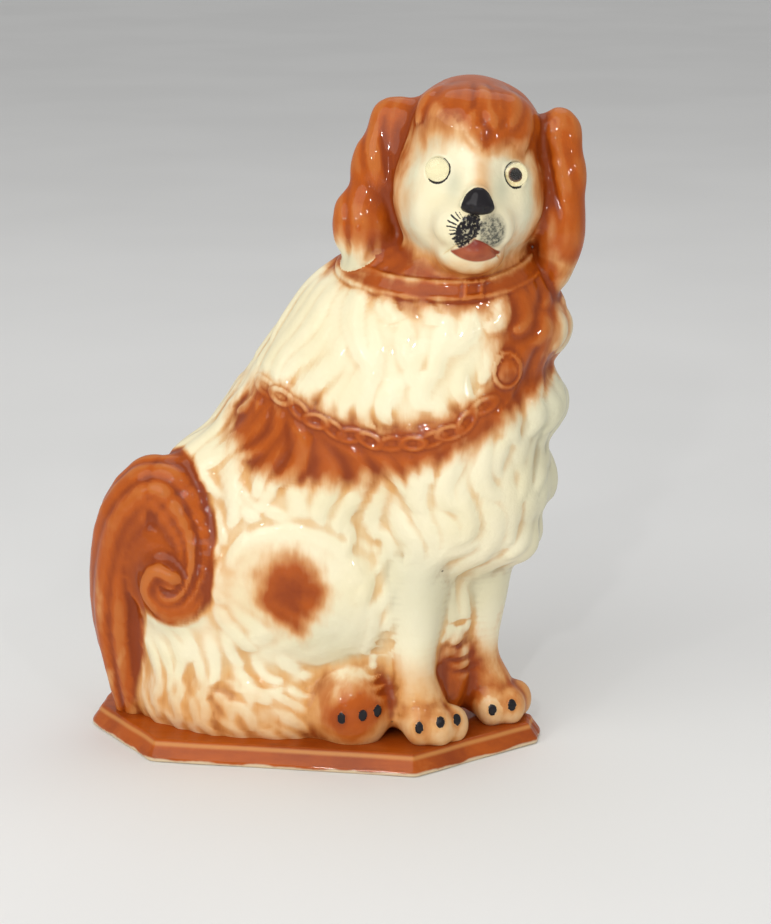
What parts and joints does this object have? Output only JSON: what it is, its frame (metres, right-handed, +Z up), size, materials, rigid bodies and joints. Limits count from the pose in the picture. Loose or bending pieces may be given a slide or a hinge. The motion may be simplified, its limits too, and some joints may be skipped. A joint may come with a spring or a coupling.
{
  "type": "dog figurine",
  "caption": "Seated spaniel mantel figurine in hollow glazed earthenware, head turned to its right, with glass eyes and a canted plinth.",
  "frame": {"origin": "middle of the plinth's underside", "axes": "+X towards the dog's chest and forelegs, -Y the side the face looks to, +Z up"},
  "size_m": [0.2444, 0.1269, 0.329],
  "materials": {
    "cream_glaze": "glossy lead glaze over cream and rust underglaze colours on earthenware",
    "rust_glaze": "glossy rust-orange glaze on earthenware",
    "eye_cement": "matt plaster cement",
    "eye_paint": "enamel paint on the back of the glass",
    "eye_glass": "clear blown glass dome"
  },
  "bodies": {
    "root": {"body_right_half": "cream_glaze", "body_left_half": "cream_glaze", "foreleg_right": "cream_glaze", "foreleg_left": "cream_glaze", "plinth": "rust_glaze", "eye_cement_right": "eye_cement", "eye_cement_left": "eye_cement", "eye_paint_left": "eye_paint", "eye_glass_right": "eye_glass", "eye_glass_left": "eye_glass"}
  },
  "joints": []
}
